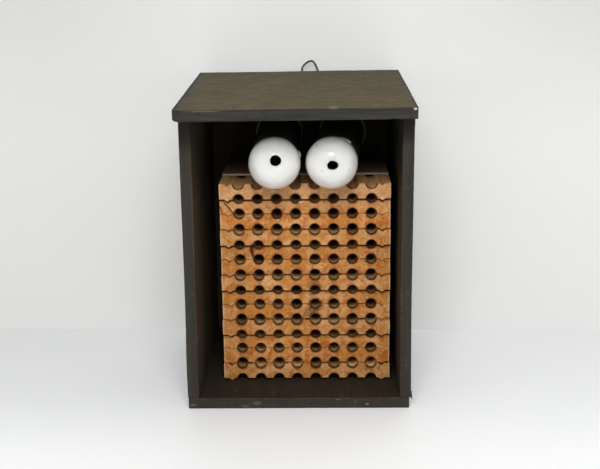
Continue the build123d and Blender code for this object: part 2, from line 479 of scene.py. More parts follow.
# marks have a centre and half-lengths in millimetres, a tint and an amount
boards = {
    "bottom_panel": {
        "stretch": (220.0, 14.0, 220.0),
        "brown": 0.5,
        "inner": (2, 8.6 * mm, 1, 0.62, 0.62),
        "marks": [
            ((-84.3, -90.5, 3.1), (4.0, 1.5, 1.4), "chip", 0.22),
            ((-33.4, -90.5, 4.3), (4.5, 1.5, 2.4), "chip", 0.2),
            ((-43.4, -90.5, 1.9), (4.5, 1.5, 1.0), "chip", 0.22),
            ((53.4, -90.5, 3.2), (1.6, 1.5, 1.1), "chip", 0.5),
            ((30.5, -90.5, 7.4), (2.6, 1.5, 0.8), "chip", 0.2),
        ],
    },
    "left_side_panel": {
        "stretch": (220.0, 180.0, 12.0),
        "brown": 0.4,
        "inner": (0, sideHigh.x, 1, 1.3, 4.6),
        "marks": [
            ((-78.6, -88.0, 84.0), (1.8, 4.0, 34.0), "brown", 0.75),
            ((-79.1, -89.4, 58.0), (0.6, 1.2, 3.6), "chip", 0.6),
        ],
        "paintedRoofShadow": (200, 216),
    },
    "right_side_panel": {
        "stretch": (220.0, 180.0, 12.0),
        "brown": 0.35,
        "inner": (0, -sideHigh.x, -1, 0.66, 2.4),
        "marks": [],
        "paintedRoofShadow": (207, 220),
    },
    "back_panel": {
        "stretch": (180.0, 220.0, 12.0),
        "brown": 0.3,
        "inner": (1, backFront, -1, 2.4, 2.4),
        "marks": [],
    },
}
bends = {
    "left_side_panel": [(-1, -0.2), (30, -0.45), (90, 0.1), (150, 0.3), (245, 0.0)],
    "right_side_panel": [(-1, 0.45), (30, 0.1), (90, -0.3), (150, 0.05), (200, 0.25), (245, 0.8)],
}
shortEnd = 1.1 * mm            # the bottom board stops short of the right side


def makeBoard(nodeName):
    low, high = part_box(nodeName)
    if nodeName == "bottom_panel":
        high.x -= shortEnd
    bm = boxMesh(low, high)
    wearBoard(bm, low, high, boardShape, 3)
    if nodeName != "bottom_panel":
        underRoof(bm, low, high)
    if nodeName in bends:
        bendFront(bm, bends[nodeName])
    paint = paintedBoard(nodeName + "Paint", low, high, **boards[nodeName])
    finishPiece(nodeName + "_board", bm, [paint], "house", [nodeName])
    return paint


boardFinish = {boardName: makeBoard(boardName) for boardName in boards}
print("house boards made")


# Splinter at the foot of the right side

splinterShape = {
    "place": Vector((88.2, -89.4, 10.0)) * mm,
    "radius": 1.1 * mm,
    "tip": 0.25,               # share of the radius that is left at the tip
    "length": 6.5 * mm,
    "rough": 0.35 * mm,
    "roughSize": 1.4 * mm,
    "lean": (172, 12),         # degrees round X and Y
}


def makeSplinter():
    look = splinterShape
    bm = bmesh.new()
    bmesh.ops.create_cone(bm, cap_ends=True, segments=9, radius1=look["radius"],
                          radius2=look["tip"] * look["radius"], depth=look["length"])
    bmesh.ops.subdivide_edges(bm, edges=bm.edges, cuts=2, use_grid_fill=True)
    for vert in bm.verts:
        vert.co += noise.noise_vector(vert.co / look["roughSize"]) * look["rough"]
    roundX, roundY = (math.radians(a) for a in look["lean"])
    lean = Matrix.Rotation(roundX, 4, "X") @ Matrix.Rotation(roundY, 4, "Y")
    bmesh.ops.transform(bm, matrix=Matrix.Translation(look["place"]) @ lean, verts=bm.verts)
    finishPiece("side_splinter", bm, [boardFinish["right_side_panel"]], "house", (), 30)


makeSplinter()
print("splinter made")


# Roof board

roofLook = {
    "worn": screenColour(92, 81, 61),
    "wornOlive": screenColour(84, 78, 56),
    "wornRed": screenColour(100, 76, 53),
    "paint": screenColour(62, 61, 57),
    "paintDark": screenColour(42, 41, 38),
    "paintTop": screenColour(82, 76, 63),
    "edge": screenColour(40, 39, 36),
    "chip": screenColour(214, 210, 202),
    "scuff": screenColour(146, 138, 122),
    "leftCorner": 4.6 * mm,    # front corners rounded in plan
    "rightCorner": 0.9 * mm,
    "leftReach": 0.5 * mm,     # the left end stands out a little further
    "rightShort": 0.5 * mm,
    "softCorner": 4.5 * mm,    # lower left corner worn round over this length
    "softLift": 1.5 * mm,
    "softDepth": 60 * mm,
    "softFade": 1.6,           # how fast the wear dies out upwards
    "bandSide": 3.0 * mm,      # painted band left along the edges of the top
    "bandRear": 10.0 * mm,
    "bandFront": 0.6 * mm,
}


def roofFrame():
    # the flat board before it is tilted: rear lower edge at Y 0 and Z 0
    low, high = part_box("roof_panel")
    spanY, spanZ = high.y - low.y, high.z - low.z
    thickness = (spanZ * math.cos(roofSlope) - spanY * math.sin(roofSlope)) / math.cos(2 * roofSlope)
    length = (spanY - thickness * math.sin(roofSlope)) / math.cos(roofSlope)
    hinge = Vector((0, high.y, high.z - thickness * math.cos(roofSlope)))
    start = Vector((low.x - roofLook["leftReach"], -length, 0))
    return start, Vector((high.x - roofLook["rightShort"], 0, thickness)), hinge


def roofChips(front, top):
    return [
        ((82.4, front + 2.0, top - 0.4), (1.8, 3.0, 1.6), "edge", 0.8),
        ((86.3, front + 1.6, top - 0.9), (1.6, 3.6, 1.3), "chip", 1.0),
        ((27.6, front + 5.0, top), (5.0, 8.0, 1.2), "scuff", 0.36),
        ((-8.0, front + 2.5, top), (3.0, 2.5, 1.2), "scuff", 0.25),
        ((83.0, -12.0, top), (3.5, 6.0, 1.2), "edge", 0.7),
        ((85.0, -91.0, top), (2.5, 9.0, 1.2), "edge", 0.6),
        ((-44.7, front + 11.5, top), (1.2, 8.0, 1.2), "edge", 0.6),
        ((-21.2, -90.0, top), (2.4, 5.0, 1.2), "edge", 0.5),
        ((-65.7, -114.0, top), (3.0, 4.0, 1.2), "edge", 0.5),
        ((-66.0, front, top - 1.2), (16.0, 1.5, 0.7), "scuff", 0.3),
    ]


def roofPaint(low, high, hinge):
    look = roofLook
    material, shader, place = newMaterial("roofPaint", {"Specular IOR Level": 0.15})
    turned = Matrix.Rotation(-roofSlope, 3, "X") @ hinge
    flat = put("Mapping", {0: place, 1: -turned, 2: (-roofSlope, 0, 0)}).outputs[0]
    x, y, z = axes(flat)
    brush = useGroup(strokes, flat, stretch=(16.0, 190.0, 200.0))
    fromSide = minus(high.x, calc("ABSOLUTE", x))
    fromRear = times(y, -1.0)
    fromFront = minus(y, low.y)
    ragged = times(minus(cloud(flat, 13 * mm, 5.0, 0.65), 0.5), 14 * mm)
    tight = times(ragged, 0.12)
    sides = fade(plus(fromSide, ragged), look["bandSide"] - 5 * mm, look["bandSide"] + 5 * mm)
    rear = fade(plus(fromRear, ragged), look["bandRear"] - 9 * mm, look["bandRear"] + 9 * mm)
    front = fade(plus(fromFront, tight), look["bandFront"], look["bandFront"] + 1.2 * mm)
    onTop = fade(z, high.z - 1.0 * mm, high.z - 0.2 * mm)
    bare = times(times(sides, rear), times(front, onTop))
    patches = useGroup(blotches, flat, size=45 * mm, cover=0.5, soft=0.14)["Mask"]
    smallPatches = useGroup(blotches, flat, size=9 * mm, cover=0.4, soft=0.14)["Mask"]
    worn = blendColour(patches, look["worn"], look["wornOlive"])
    reddish = times(smallPatches, fade(fromFront, 70 * mm, 10 * mm))
    worn = tinted(worn, reddish, 0.6, look["wornRed"])
    grainy = cloud(vectorCalc("MULTIPLY", flat, (0.6, 1.0, 1.0)), 8 * mm, 5.0, 0.72)
    worn = shaded(worn, brush["Streak"], 0.5, 0.74)
    worn = shaded(worn, grainy, 1.5, 0.24)
    paint = blendColour(fade(brush["Streak"], 0.32, 0.7), look["paintDark"], look["paint"])
    band = blendColour(fade(grainy, 0.36, 0.62), look["paint"], look["paintTop"])
    paint = blendColour(onTop, paint, band)
    colour = tinted(paint, bare, 0.95, worn)
    nearTop = fade(z, high.z - 2.2 * mm, high.z - 1.4 * mm)
    rimDark = fade(calc("MINIMUM", fromSide, fromRear), 2.2 * mm, 0.9 * mm)
    frontDark = fade(plus(fromFront, tight), 1.1 * mm, 0.3 * mm)
    rimDark = calc("MAXIMUM", rimDark, times(frontDark, 0.6))
    colour = tinted(colour, times(rimDark, nearTop), 0.8, look["edge"])
    specks = useGroup(flecks, flat, size=7 * mm, share=0.2)["Mask"]
    colour = tinted(colour, specks, 0.42, look["paintDark"])
    for centre, reach, tint, amount in roofChips(low.y / mm, high.z / mm):
        colour = spotted(colour, flat, centre, reach, 0.6, amount, look[tint])
    colour = shaded(colour, brush["Grit"], 0.4, 0.8)
    roughness = timesPlus(bare, 0.15, 0.68)
    height = timesPlus(brush["Streak"], 0.7, times(brush["Grit"], 0.5))
    dress(shader, colour, roughness, height, 0.25 * mm, 0.7)
    return material


def makeRoof():
    look = roofLook
    low, high, hinge = roofFrame()
    bm = boxMesh(low, high)
    for hand, radius in ((-1, look["leftCorner"]), (1, look["rightCorner"])):
        corner = [e for e in bm.edges if all(v.co.x * hand > 0 and v.co.y < low.y + mm for v in e.verts)]
        roundEdges(bm, corner, radius, 5)
    wearBoard(bm, low, high, boardShape, 3)
    for vert in bm.verts:
        near = max(0.0, 1.0 - (vert.co.x - low.x) / look["softCorner"])
        ahead = max(0.0, 1.0 - (vert.co.y - low.y) / look["softDepth"])
        under = max(0.0, 1.0 - look["softFade"] * vert.co.z / high.z)
        vert.co.z += near ** 2 * ahead * under * look["softLift"]
    tilt = Matrix.Translation(hinge) @ Matrix.Rotation(roofSlope, 4, "X")
    bmesh.ops.transform(bm, matrix=tilt, verts=bm.verts)
    for vert in bm.verts:
        vert.co.z += rollAt(vert.co)
    finishPiece("roof_board", bm, [roofPaint(low, high, hinge)], "house", ["roof_panel"])


makeRoof()
print("roof made")


# Nails, painted over with the boards

nailLook = {
    "paint": screenColour(44, 42, 39),
    "bright": screenColour(84, 78, 70),
    "proud": 0.3 * mm,
    "proudBelow": 0.05 * mm,
    "headRound": 0.3 * mm,
}


def nailPaint():
    material, shader, place = newMaterial("nailPaint")
    rust = useGroup(blotches, place, size=1.6 * mm, cover=0.4, soft=0.1)["Mask"]
    grit = cloud(place, 0.5 * mm, 3.0, 0.7)
    colour = shaded(blendColour(rust, nailLook["paint"], nailLook["bright"]), grit, 0.6, 0.7)
    dress(shader, colour, timesPlus(grit, 0.3, 0.4), grit, 0.15 * mm, 0.6)
    return material


def makeNails(nodeName, outward, proud, paint):
    # outward gives the way a nail's head points, from a point on the nail
    bm = nodeMesh(nodeName, 2)
    top = [e for e in sharpEdges(bm, 60)
           if any(f.normal.dot(outward(f.calc_center_median())) > 0.9 for f in e.link_faces)]
    roundEdges(bm, top, nailLook["headRound"], 2)
    for vert in bm.verts:
        vert.co += outward(vert.co) * proud
        if nodeName == "roof_nails":
            vert.co.z += rollAt(vert.co)
    finishPiece(nodeName + "_painted", bm, [paint], "house", [nodeName], 40)


nailFinish = nailPaint()
roofUp = Vector((0, -math.sin(roofSlope), math.cos(roofSlope)))
makeNails("roof_nails", lambda p: roofUp, nailLook["proud"], nailFinish)
makeNails("side_nails", lambda p: Vector((math.copysign(1, p.x), 0, 0)), nailLook["proud"], nailFinish)
makeNails("bottom_nails", lambda p: Vector((0, 0, -1)), nailLook["proudBelow"], nailFinish)
print("nails made")


# Hanging loop and its screws

wireShape = {
    "radius": 0.9 * mm,
    "screwHead": 3.3 * mm,     # radius
    "eyelet": 2.6 * mm,        # radius of the wire's bend round a screw
    "eyeletSteps": 7,
    "eyeletStep": 40.0,        # degrees
    "leftFoot": (-0.4, -24.0),  # X, and height above the roof
    "rightFoot": (30.5, -24.0),
    "loop": [(2.2, -0.9), (2.3, 4.5), (10.9, 10.2), (14.6, 5.2), (16.6, -0.6)],
    "bright": screenColour(128, 124, 118),
    "dark": screenColour(82, 78, 72),
    "screwBright": screenColour(176, 168, 150),
    "screwDark": screenColour(120, 108, 88),
}


def dullSteel(name, bright, dark, roughness):
    material, shader, place = newMaterial(name, {"Metallic": 0.85})
    tarnish = useGroup(blotches, place, size=3 * mm, cover=0.5, soft=0.2)["Mask"]
    drawn = cloud(place, 0.35 * mm, 3.0, 0.65)
    colour = shaded(blendColour(tarnish, bright, dark), drawn, 0.5, 0.75)
    dress(shader, colour, timesPlus(tarnish, 0.2, roughness), drawn, 0.05 * mm, 0.5)
    return material


def eyeletPoints(screw, foot, hand):
    # control points that carry the wire round a screw from its foot
    step = math.radians(wireShape["eyeletStep"])
    outward = (foot - screw).normalized() * wireShape["eyelet"] / math.cos(step / 2)
    turns = [hand * (i + 0.5) * step for i in range(wireShape["eyeletSteps"])]
    return [screw + Matrix.Rotation(turn, 2) @ outward for turn in turns]


def makeWire(steel):
    look = wireShape
    low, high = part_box("hanger_wire")
    screwLow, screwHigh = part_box("hanger_screws")
    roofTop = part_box("roof_panel")[1].z
    leftScrew = Vector((screwLow.x + look["screwHead"], screwLow.z + look["screwHead"]))
    rightScrew = Vector((screwHigh.x - look["screwHead"], screwHigh.z - look["screwHead"]))
    spots = [look["leftFoot"], *look["loop"], look["rightFoot"]]
    leftFoot, *loop, rightFoot = (Vector((x * mm, roofTop + z * mm)) for x, z in spots)
    route = [*reversed(eyeletPoints(leftScrew, leftFoot, -1)), *loop, *eyeletPoints(rightScrew, rightFoot, 1)]
    curve = bpy.data.curves.new("hanging_wire", "CURVE")
    curve.dimensions = "3D"
    curve.bevel_depth = look["radius"]
    curve.bevel_resolution = 4
    curve.use_fill_caps = True
    spline = curve.splines.new("NURBS")
    spline.points.add(len(route) - 1)
    for point, place in zip(spline.points, route):
        point.co = (place.x, (low.y + high.y) / 2, place.y, 1.0)
    spline.order_u = 3
    spline.use_endpoint_u = True
    spline.resolution_u = 10
    curve.materials.append(steel)
    wire = bpy.data.objects.new("hanging_wire", curve)
    bpy.context.scene.collection.objects.link(wire)
    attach(wire, "house")
    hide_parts("hanger_wire")


makeWire(dullSteel("wireSteel", wireShape["bright"], wireShape["dark"], 0.42))
screwSteel = dullSteel("screwSteel", wireShape["screwBright"], wireShape["screwDark"], 0.36)
nodes["hanger_screws"].material_slots[0].material = screwSteel
print("hanging loop made")


# Nesting trays

stackLow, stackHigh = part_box("tray_02")
topLow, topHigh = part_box("tray_01")
stackX = (topLow.x + topHigh.x) / 2
stackTop = topHigh.z
trayLook = {
    "count": 13,
    "group": 3,                # the first tray of each group stands forward
    "columns": 8,
    "pitchX": 15.05 * mm,
    "pitchZ": 12.55 * mm,
    "bore": 4.0 * mm,
    "edgeRound": 0.32 * mm,
    "longEdge": 2.2 * mm,      # longer edges are divided before they wander
    "wander": 0.16 * mm,
    "wanderSize": 5 * mm,
    "notchInset": 6.6 * mm,
    "notchWidth": 5.4 * mm,
    "notchDepth": 1.9 * mm,
    "wood": screenColour(195, 129, 62),
    "woodPale": screenColour(212, 156, 98),
    "woodDeep": screenColour(178, 97, 36),
    "leadWood": screenColour(194, 135, 73),
    "leadPale": screenColour(212, 160, 106),
    "leadDeep": screenColour(182, 107, 47),
    "topPaintedLight": screenColour(214, 168, 124),
    "dust": screenColour(214, 174, 124),
    "rim": screenColour(48, 27, 12),
    "halo": screenColour(112, 62, 24),
    "groove": screenColour(198, 160, 106),
    "grooveDeepPaintedShade": screenColour(70, 48, 28),
    "browned": screenColour(138, 82, 42),
    "fleck": screenColour(96, 54, 22),
    "burr": screenColour(240, 212, 176),
    "stain": screenColour(52, 30, 14),
    "stainStrength": 0.95,
    "stainDepth": 20,          # millimetres
    "chipDepth": 2,
    "paintedRowShade": 0.008,            # painted shade: each tray is darker by this than the one above
}
# places on the stack's front: X and Z of the ends, width and wander
cracks = [
    ((-58.9, 157.4), (-55.0, 153.3), 1.1, 1.2),
    ((-55.0, 153.3), (-51.6, 148.3), 1.2, 1.2),
    ((-62.2, 154.1), (-60.3, 148.4), 0.8, 1.4),
    ((-37.4, 122.7), (-38.0, 117.6), 2.2, 2.2),
    ((-38.0, 117.6), (-36.6, 112.5), 1.8, 2.2),
    ((-37.6, 120.6), (-31.8, 121.8), 1.4, 2.4),
]
# X and Z of the middle, half-lengths and amount
stains = [
    ((13.0, 72.0), (8.0, 7.5), 0.95),
    ((7.0, 66.5), (6.5, 4.5), 0.5),
    ((13.0, 62.5), (7.0, 5.5), 0.65),
    ((12.5, 88.5), (7.5, 6.0), 0.6),
    ((-3.0, 74.0), (6.0, 4.5), 0.3),
    ((-37.0, 119.5), (4.5, 3.5), 0.45),
    ((27.0, 76.0), (5.0, 6.0), 0.35),
]
paleChips = [
    ((1.6, 157.8), (2.6, 0.8), 0.85),
    ((4.2, 158.8), (1.6, 0.7), 0.85),
    ((66.5, 161.0), (1.5, 0.9), 0.85),
    ((-16.2, 143.2), (1.3, 0.8), 0.85),
]


def bareWood(own, row, medium, fine, wood, pale, deep):
    # mottled wood with a random tone of its own for each tray, and painted light and shade by row: the top
    # trays paler, darker down the stack, and lighter again near the bottom
    large = cloud(own, 20 * mm, 2.0, 0.5, 0.3)
    small = cloud(own, 3.2 * mm, 3.0, 0.65, 0.5)
    colour = blendColour(fade(large, 0.42, 0.62), wood, pale)
    colour = tinted(colour, fade(medium, 0.48, 0.64), 0.8, deep)
    colour = tinted(colour, fade(small, 0.5, 0.66), 0.5, deep)
    colour = tinted(colour, fade(small, 0.44, 0.32), 0.6, pale)
    # painted light: the top trays are paler
    colour = tinted(colour, fade(row, 2.0, 0.0), 0.4, trayLook["topPaintedLight"])
    colour = shaded(colour, fine, 1.1, 0.46)
    tint = put("TexWhiteNoise", {"W": row}, noise_dimensions="1D").outputs[0]
    rowPaintedLight = timesPlus(row, -trayLook["paintedRowShade"], 1.03)
    rowPaintedLight = timesPlus(fade(row, 1.2, 3.2), -0.13, rowPaintedLight)
    rowPaintedLight = timesPlus(fade(row, 7.5, 11.5), 0.09, rowPaintedLight)
    return shaded(colour, tint, 0.1, rowPaintedLight)


def faceSpots(colour, place, frontY, spots, depth, strength, tint):
    for (centreX, centreZ), (reachX, reachZ), amount in spots:
        centre = (centreX, frontY / mm, centreZ)
        colour = spotted(colour, place, centre, (reachX, depth, reachZ), 0.5, amount * strength, tint)
    return colour


def seamMask(own, layout, ragged):
    # dark seams between the trays, and a broad painted shadow under a tray that stands forward
    order = calc("MODULO", layout["Row"], trayLook["group"])
    shadeReach = timesPlus(ragged, 0.8 * mm, 1.7 * mm)
    # painted shadow cast by the tray above, where it stands forward
    shadeLine = fade(minus(layout["Below"], shadeReach), 0.5 * mm, -0.2 * mm)
    shadeLine = times(calc("COMPARE", order, 1.0, 0.5), shadeLine)
    grime = fade(cloud(own, 16 * mm, 3.0, 0.6), 0.36, 0.56)
    grime = times(grime, timesPlus(calc("COMPARE", order, 0.0, 0.5), -0.65, 1.0))
    hairLine = times(fade(layout["Below"], 0.65 * mm, 0.2 * mm), grime)
    lowLine = times(fade(layout["Above"], 0.5 * mm, 0.1 * mm), grime)
    return calc("MAXIMUM", shadeLine, calc("MAXIMUM", hairLine, lowLine))


def trayFace(bare, place, own, frontY, layout, onTop, medium, ragged):
    # the sawn front: flecks, stains, dark rings round the channels, sides paler as a painted highlight, and
    # seams with a painted shadow under a tray that stands forward
    look = trayLook
    radius, bore = layout["Radius"], look["bore"]
    specks = useGroup(flecks, own, size=2.2 * mm, share=0.3)["Mask"]
    colour = tinted(bare, specks, 0.3, look["fleck"])
    motes = useGroup(flecks, own, size=3.4 * mm, share=0.16)["Mask"]
    colour = tinted(colour, motes, 0.22, look["burr"])
    burr = times(fade(radius, bore + 2.2 * mm, bore + 0.9 * mm), fade(ragged, 0.6, 0.72))
    colour = tinted(colour, burr, 0.5, look["burr"])
    strength = look["stainStrength"]
    colour = faceSpots(colour, place, frontY, stains, look["stainDepth"], strength, look["stain"])
    halo = fade(radius, timesPlus(medium, 3.4 * mm, bore + 0.1 * mm), bore + 0.2 * mm)
    colour = tinted(colour, halo, 0.65, look["halo"])
    ringReach = timesPlus(ragged, 0.8 * mm, timesPlus(onTop, 0.5 * mm, bore))
    ring = fade(minus(radius, ringReach), 0.3 * mm, -0.2 * mm)
    colour = tinted(colour, ring, 0.9, look["rim"])
    colour = faceSpots(colour, place, frontY, paleChips, look["chipDepth"], 1.0, look["burr"])
    # painted highlight: the front is paler near the sides of the stack, where its edges catch the light
    fromMiddle = calc("ABSOLUTE", minus(axes(place)[0], stackX))
    paintedFlankLight = fade(fromMiddle, topHigh.x - stackX - 1.6 * mm, topHigh.x - stackX - 0.5 * mm)
    colour = tinted(colour, paintedFlankLight, 0.4, look["burr"])
    return tinted(colour, seamMask(own, layout, ragged), 0.92, look["rim"])


def channelWall(face, bare, layout, endDepth, onTop, ragged, fine):
    # behind the front: channels with a random tone of their own and a painted shade that changes by row,
    # darker at the mouth, darker deep inside as painted shade, and the dusty top of the stack, lighter in its
    # grooves as painted light
    look = trayLook
    radius, row, bore = layout["Radius"], layout["Row"], look["bore"]
    # painted shade by row, times a random tone for each channel
    rowShadeAndTone = timesPlus(fade(row, 1.5, 6.5), -0.26, 1.14)
    rowShadeAndTone = timesPlus(fade(row, 8.5, 11.5), 0.2, rowShadeAndTone)
    rowShadeAndTone = times(rowShadeAndTone, timesPlus(layout["Chance"], 0.7, 0.6))
    mouth = scaleColour(look["groove"], rowShadeAndTone)
    mouth = tinted(mouth, fade(layout["Chance"], 0.5, 0.1), 0.55, look["browned"])
    # painted shade: the channel walls darken deep inside
    wall = blendColour(fade(endDepth, 8 * mm, 40 * mm), mouth, look["grooveDeepPaintedShade"])
    # darker near the mouth of each channel
    darkMouthReach = timesPlus(ragged, 5.0 * mm, 2.0 * mm)
    darkMouth = fade(minus(endDepth, darkMouthReach), 0.6 * mm, -0.6 * mm)
    wall = tinted(wall, darkMouth, 0.85, look["rim"])
    land = blendColour(1.0, face, (0.8, 0.8, 0.8, 1.0), "MULTIPLY")
    wall = blendColour(fade(radius, bore + 0.15 * mm, bore + 0.45 * mm), wall, land)
    ledge = blendColour(0.6, bare, look["dust"])
    # painted light: the grooves on the top of the stack are made lighter to undo their shade
    paintedGrooveLight = fade(radius, bore + 0.3 * mm, bore - 0.1 * mm)
    wall = blendColour(onTop, wall, shaded(ledge, paintedGrooveLight, 0.3, 1.0))
    return shaded(wall, fine, 0.7, 0.62)


def trayWood(name, frontY, rearY, wood, pale, deep):
    look = trayLook
    material, shader, place = newMaterial(name, {"Specular IOR Level": 0.25})
    _, y, z = axes(place)
    notch = ((topHigh.x - topLow.x) / 2 - look["notchInset"], look["notchWidth"] / 2, look["notchDepth"])
    pitch = (look["pitchX"], 1.0, look["pitchZ"])
    layout = useGroup(trayLayout, place, top=(stackX, 0, stackTop), pitch=pitch, notch=notch,
                      half=look["columns"] / 2 * look["pitchX"])
    row = layout["Row"]
    moved = put("CombineXYZ", {0: times(row, 0.031), 1: times(row, 0.017)}).outputs[0]
    own = vectorCalc("ADD", place, moved)      # so that no two trays have the same grain
    medium = cloud(own, 6.5 * mm, 3.0, 0.6, 0.4)
    fine = cloud(own, 1.5 * mm, 4.0, 0.75)
    ragged = cloud(own, 2.2 * mm, 3.0, 0.6)
    onTop = fade(z, stackTop - 5.0 * mm, stackTop - 4.3 * mm)
    endDepth = calc("MINIMUM", minus(y, frontY), minus(rearY, y))
    bare = bareWood(own, row, medium, fine, wood, pale, deep)
    face = trayFace(bare, place, own, frontY, layout, onTop, medium, ragged)
    wall = channelWall(face, bare, layout, endDepth, onTop, ragged, fine)
    colour = blendColour(fade(endDepth, 0.3 * mm, 0.7 * mm), face, wall)
    for (fromX, fromZ), (toX, toZ), width, wander in cracks:
        start, end = Vector((fromX * mm, frontY, fromZ * mm)), Vector((toX * mm, frontY, toZ * mm))
        line = useGroup(crackLine, place, start=start, end=end, width=width * mm, wander=wander * mm)
        colour = blendColour(line["Mask"], colour, look["stain"])
    dress(shader, colour, timesPlus(medium, 0.2, 0.68), fine, 0.3 * mm, 0.8)
    return material


def makeTray(number, wood):
    nodeName = f"tray_{number:02d}"
    bm = nodeMesh(nodeName, 1)
    ends = [e for e in bm.edges if abs(e.verts[0].co.y - e.verts[1].co.y) < 1e-6]
    longEnds = [e for e in ends if e.calc_length() > trayLook["longEdge"]]
    bmesh.ops.subdivide_edges(bm, edges=longEnds, cuts=3)
    for vert in bm.verts:
        stray = noise.noise_vector(vert.co / trayLook["wanderSize"]) * trayLook["wander"]
        vert.co.x += stray.x
        vert.co.z += stray.z
    roundEdges(bm, sharpEdges(bm, 50), trayLook["edgeRound"], 2)
    finishPiece(nodeName + "_wood", bm, [wood], nodeName, [nodeName], 20)


leadTones = [trayLook[tone] for tone in ("leadWood", "leadPale", "leadDeep")]
plainTones = [trayLook[tone] for tone in ("wood", "woodPale", "woodDeep")]
leadWood = trayWood("leadingTrayWood", topLow.y, topHigh.y, *leadTones)
plainWood = trayWood("trayWood", stackLow.y, stackHigh.y, *plainTones)
for trayNumber in range(1, trayLook["count"] + 1):
    if trayNumber % trayLook["group"] == 1:
        makeTray(trayNumber, leadWood)
    else:
        makeTray(trayNumber, plainWood)
print("trays made")


# Cover board on the stack

coverLook = {
    "top": screenColour(126, 100, 76),
    "sawn": screenColour(186, 181, 172),
    "slice": 5.0 * mm,
    "margin": 0.6 * mm,
    "edgeRound": 0.25 * mm,
    "warp": 0.12 * mm,
    "warpSize": 40 * mm,
    "tooth": 0.05 * mm,
    "toothSize": 4 * mm,
    "nick": 0.5 * mm,
    "nickSize": 6 * mm,
    "nickFrom": 0.3,
    "edgeReach": 0.8 * mm,
}


def coverFinish(low, high):
    material, shader, place = newMaterial("coverBoard")
    _, y, z = axes(place)
    brush = useGroup(strokes, place, stretch=(14.0, 260.0, 260.0))
    edge = times(fade(minus(y, low.y), 0.7 * mm, 0.2 * mm), fade(minus(high.z, z), 0.6 * mm, 1.1 * mm))
    colour = shaded(blendColour(edge, coverLook["top"], coverLook["sawn"]), brush["Streak"], 0.7, 0.65)
    dress(shader, colour, timesPlus(brush["Grit"], 0.2, 0.65), brush["Streak"], 0.2 * mm, 0.6)
    return material


def makeCover():
    low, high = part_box("stack_cover")
    bm = boxMesh(low, high)
    wearBoard(bm, low, high, coverLook, 2)
    finishPiece("cover_board", bm, [coverFinish(low, high)], "eye_board", ["stack_cover"])


makeCover()
print("cover made")


# Eyes

eyeLook = {
    "bore": 4.0 * mm,
    "rim": 0.5 * mm,
    "arcSteps": 56,
    "turnSteps": 72,
    "white": screenColour(244, 243, 237),
    "shade": screenColour(232, 230, 223),
    "pupil": screenColour(62, 58, 53),
    "boreRough": 0.3 * mm,
    "boreRoughSize": 2.2 * mm,
    "leftLook": (4.9, 15.7),   # pupil to the right and up, in degrees
    "rightLook": (1.4, 4.2),
    "rightSquash": 0.84,       # height of the right pupil against its width
}
ballGloss = {
    "Subsurface Weight": 1.0,  # share of light that soaks into the plastic
    "Subsurface Radius": (1.0, 1.0, 1.0),
    "Subsurface Scale": 24 * mm,
    "Specular IOR Level": 0.1,
    "Coat Weight": 1.0,
    "Coat IOR": 1.8,
    "Coat Roughness": 0.12,
}
tubeLook = {
    "plastic": screenColour(76, 70, 60),
    "worn": screenColour(100, 93, 80),
    # the lip's pale colour is painted light: it stands in for light catching the rear rims of the tubes
    "lip": screenColour(206, 200, 188),
    "lipWorn": screenColour(232, 226, 214),
    "lipHeight": 2.0 * mm,     # lip round the rear end of a tube
    "lipFlare": 0.6 * mm,
    "lipLength": 1.2 * mm,
    "wall": 2.0 * mm,
    "rim": 0.6 * mm,
    "seat": 0.1 * mm,
    "turnSteps": 96,
    "slice": 6 * mm,
    "margin": 1.5 * mm,
    "leftTurn": 0.5,           # swing of a tube's rear end to the left, in degrees
    "rightTurn": -4.3,
}


def ballWhite():
    material, shader, place = newMaterial("ballWhite", ballGloss)
    tone = useGroup(blotches, place, size=12 * mm, cover=0.45, soft=0.25)["Mask"]
    specks = useGroup(flecks, place, size=4 * mm, share=0.05)["Mask"]
    colour = blendColour(tone, eyeLook["white"], eyeLook["shade"])
    colour = tinted(colour, specks, 0.2, tubeLook["worn"])
    ripple = cloud(place, 7 * mm, 2.0, 0.5)
    dress(shader, colour, timesPlus(tone, 0.08, 0.2), ripple, 0.1 * mm, 0.12)
    return material


def pupilBlack():
    material, shader, place = newMaterial("pupilBlack", {"Specular IOR Level": 0.2})
    grit = cloud(place, 0.8 * mm, 3.0, 0.6)
    colour = shaded(eyeLook["pupil"], grit, 0.8, 0.6)
    dress(shader, colour, timesPlus(grit, 0.3, 0.6), grit, 0.1 * mm, 0.5)
    return material


def wearBore(bm, radius, squash):
    # ragged and somewhat flattened mouth of the bore; its lip stays on the ball
    look = eyeLook
    for vert in bm.verts:
        if vert.co.z > 0 and math.hypot(vert.co.x, vert.co.y) < look["bore"] + 1.5 * look["rim"]:
            onBall = vert.co.length > radius - 0.01 * mm
            stray = noise.noise_vector(Vector((vert.co.x, vert.co.y, 0)) / look["boreRoughSize"])
            vert.co.x += stray.x * look["boreRough"]
            vert.co.y = vert.co.y * squash + stray.y * look["boreRough"]
            if onBall:
                vert.co.z = math.sqrt(radius ** 2 - vert.co.x ** 2 - vert.co.y ** 2)


